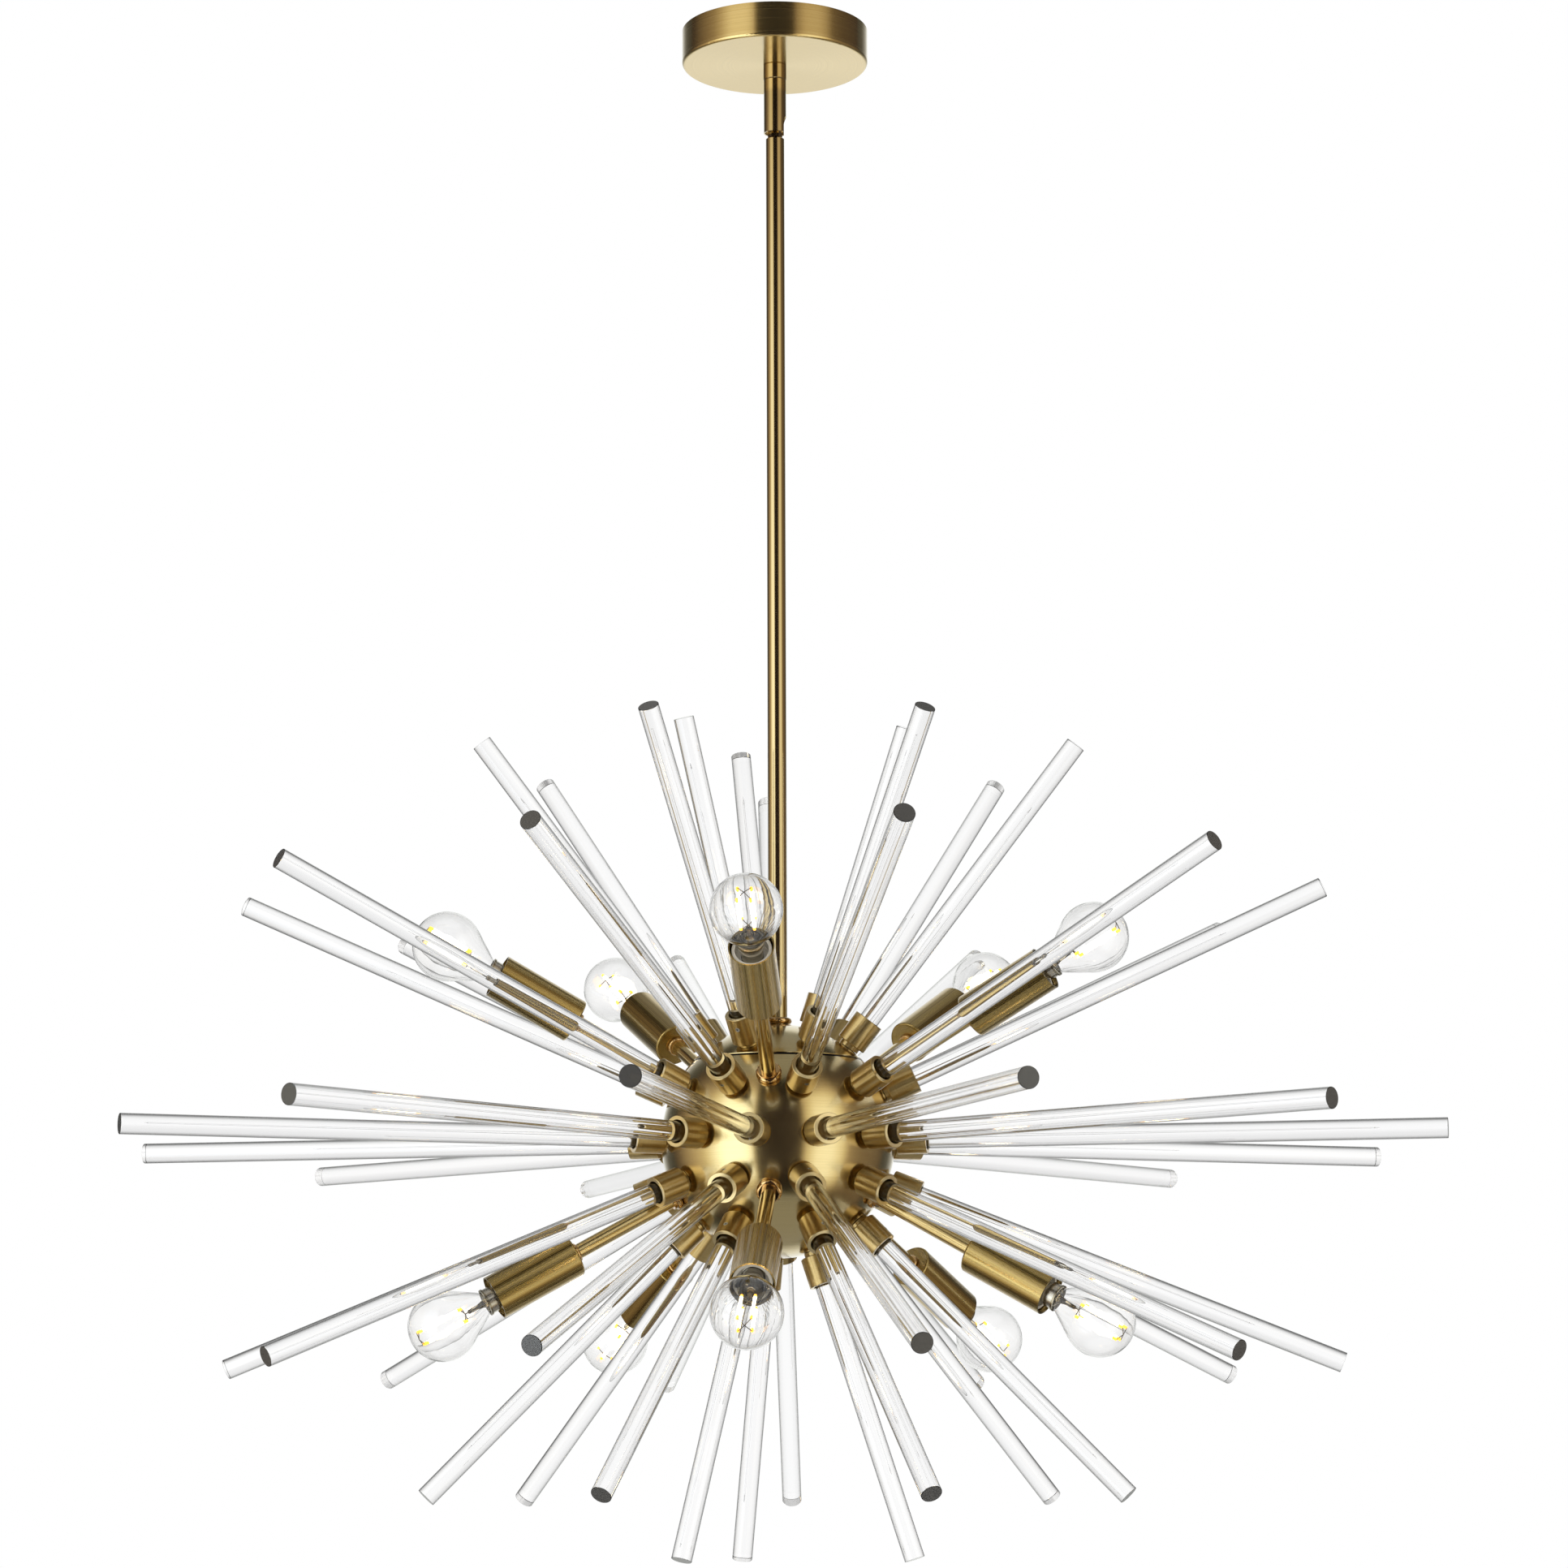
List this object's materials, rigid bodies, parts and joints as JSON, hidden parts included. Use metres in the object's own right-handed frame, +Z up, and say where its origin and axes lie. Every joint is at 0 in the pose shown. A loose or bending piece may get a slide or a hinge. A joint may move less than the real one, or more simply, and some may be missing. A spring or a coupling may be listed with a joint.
{
  "type": "sputnik chandelier",
  "caption": "Hanging sputnik lamp: brass canopy, swivel, rigid stem and ball, with clear rods in brass cups and globe lamps on arms all round.",
  "frame": {"origin": "centre of the canopy in the plane of the ceiling, between the two screw slots of the crossbar", "axes": "+Z up towards the ceiling, +X to the right and -Y towards the viewer of the picture; the crossbar runs along X"},
  "size_m": [0.8662, 0.8662, 1.0424],
  "materials": {
    "brushed_brass": "satin, finely brushed",
    "polished_brass": "polished",
    "dark_brass": "satin, warm brown",
    "steel": "zinc plated",
    "clear_rod": "clear, polished round the side, sawn at the ends",
    "lamp_glass": "clear",
    "lamp_cap": "nickel plated",
    "socket_body": "pale insulating body",
    "contact_metal": "plated",
    "connector": "moulded",
    "wire": "insulated conductor"
  },
  "bodies": {
    "ceiling_fixing": {"crossbar": "steel", "threaded_nipple": "steel", "nipple_nuts": "steel", "canopy": "brushed_brass", "canopy_collar": "brushed_brass", "ground_screw": "steel", "wire_nuts": "connector", "canopy_wires": "wire"},
    "swivel_socket": {"swivel_socket": "brushed_brass"},
    "chandelier": {"swivel_ball": "brushed_brass", "stem_upper": "brushed_brass", "stem_lower": "brushed_brass", "sphere_cap": "brushed_brass", "sphere_shell": "brushed_brass", "lamp_arms": "brushed_brass", "socket_cups": "brushed_brass", "stem_ring": "polished_brass", "arm_collars": "polished_brass", "arm_seat_rings": "polished_brass", "rod_cups": "dark_brass", "stem_coupling": "steel", "stem_end_thread": "steel", "stem_nut": "steel", "sphere_bridge": "steel", "set_screws": "steel", "cup_bolts": "steel", "arm_nuts": "steel", "rods_equator": "clear_rod", "rods_low": "clear_rod", "rods_mid": "clear_rod", "rods_steep": "clear_rod", "splice_caps": "connector", "supply_wires": "wire", "lamp_wires": "wire", "socket_bodies": "socket_body", "socket_shells": "contact_metal", "socket_contacts": "contact_metal"},
    "bulb_upper_1": {"bulb_upper_1_globe": "lamp_glass", "bulb_upper_1_base": "lamp_cap"},
    "bulb_upper_2": {"bulb_upper_2_globe": "lamp_glass", "bulb_upper_2_base": "lamp_cap"},
    "bulb_upper_3": {"bulb_upper_3_globe": "lamp_glass", "bulb_upper_3_base": "lamp_cap"},
    "bulb_upper_4": {"bulb_upper_4_globe": "lamp_glass", "bulb_upper_4_base": "lamp_cap"},
    "bulb_upper_5": {"bulb_upper_5_globe": "lamp_glass", "bulb_upper_5_base": "lamp_cap"},
    "bulb_lower_1": {"bulb_lower_1_globe": "lamp_glass", "bulb_lower_1_base": "lamp_cap"},
    "bulb_lower_2": {"bulb_lower_2_globe": "lamp_glass", "bulb_lower_2_base": "lamp_cap"},
    "bulb_lower_3": {"bulb_lower_3_globe": "lamp_glass", "bulb_lower_3_base": "lamp_cap"},
    "bulb_lower_4": {"bulb_lower_4_globe": "lamp_glass", "bulb_lower_4_base": "lamp_cap"},
    "bulb_lower_5": {"bulb_lower_5_globe": "lamp_glass", "bulb_lower_5_base": "lamp_cap"}
  },
  "joints": [
    {"name": "swivel_turn", "type": "hinge", "parent": "ceiling_fixing", "child": "swivel_socket", "pos_m": [0, 0, -0.04], "axis": [0, 0, 1], "range_deg": [-180, 180]},
    {"name": "swivel_tilt", "type": "hinge", "parent": "swivel_socket", "child": "chandelier", "pos_m": [0, 0, -0.066], "axis": [0, -1, 0], "range_deg": [-10, 60]},
    {"name": "bulb_upper_1_unscrew", "type": "hinge", "parent": "chandelier", "child": "bulb_upper_1", "pos_m": [-0.01696, -0.19384, -0.65848], "axis": [-0.0761, -0.87, 0.4871], "range_deg": [0, 1080]},
    {"name": "bulb_upper_2_unscrew", "type": "hinge", "parent": "chandelier", "child": "bulb_upper_2", "pos_m": [0.17911, -0.07603, -0.65848], "axis": [0.8039, -0.3412, 0.4871], "range_deg": [0, 1080]},
    {"name": "bulb_upper_3_unscrew", "type": "hinge", "parent": "chandelier", "child": "bulb_upper_3", "pos_m": [0.12766, 0.14685, -0.65848], "axis": [0.573, 0.6591, 0.4871], "range_deg": [0, 1080]},
    {"name": "bulb_upper_4_unscrew", "type": "hinge", "parent": "chandelier", "child": "bulb_upper_4", "pos_m": [-0.10022, 0.16679, -0.65848], "axis": [-0.4498, 0.7486, 0.4871], "range_deg": [0, 1080]},
    {"name": "bulb_upper_5_unscrew", "type": "hinge", "parent": "chandelier", "child": "bulb_upper_5", "pos_m": [-0.1896, -0.04377, -0.65848], "axis": [-0.851, -0.1965, 0.4871], "range_deg": [0, 1080]},
    {"name": "bulb_lower_1_unscrew", "type": "hinge", "parent": "chandelier", "child": "bulb_lower_1", "pos_m": [-0.01698, -0.19412, -0.87502], "axis": [-0.0762, -0.8713, -0.4848], "range_deg": [0, 1080]},
    {"name": "bulb_lower_2_unscrew", "type": "hinge", "parent": "chandelier", "child": "bulb_lower_2", "pos_m": [0.17937, -0.07614, -0.87502], "axis": [0.8051, -0.3417, -0.4848], "range_deg": [0, 1080]},
    {"name": "bulb_lower_3_unscrew", "type": "hinge", "parent": "chandelier", "child": "bulb_lower_3", "pos_m": [0.12784, 0.14707, -0.87502], "axis": [0.5738, 0.6601, -0.4848], "range_deg": [0, 1080]},
    {"name": "bulb_lower_4_unscrew", "type": "hinge", "parent": "chandelier", "child": "bulb_lower_4", "pos_m": [-0.10036, 0.16703, -0.87502], "axis": [-0.4505, 0.7497, -0.4848], "range_deg": [0, 1080]},
    {"name": "bulb_lower_5_unscrew", "type": "hinge", "parent": "chandelier", "child": "bulb_lower_5", "pos_m": [-0.18987, -0.04383, -0.87502], "axis": [-0.8522, -0.1967, -0.4848], "range_deg": [0, 1080]}
  ]
}
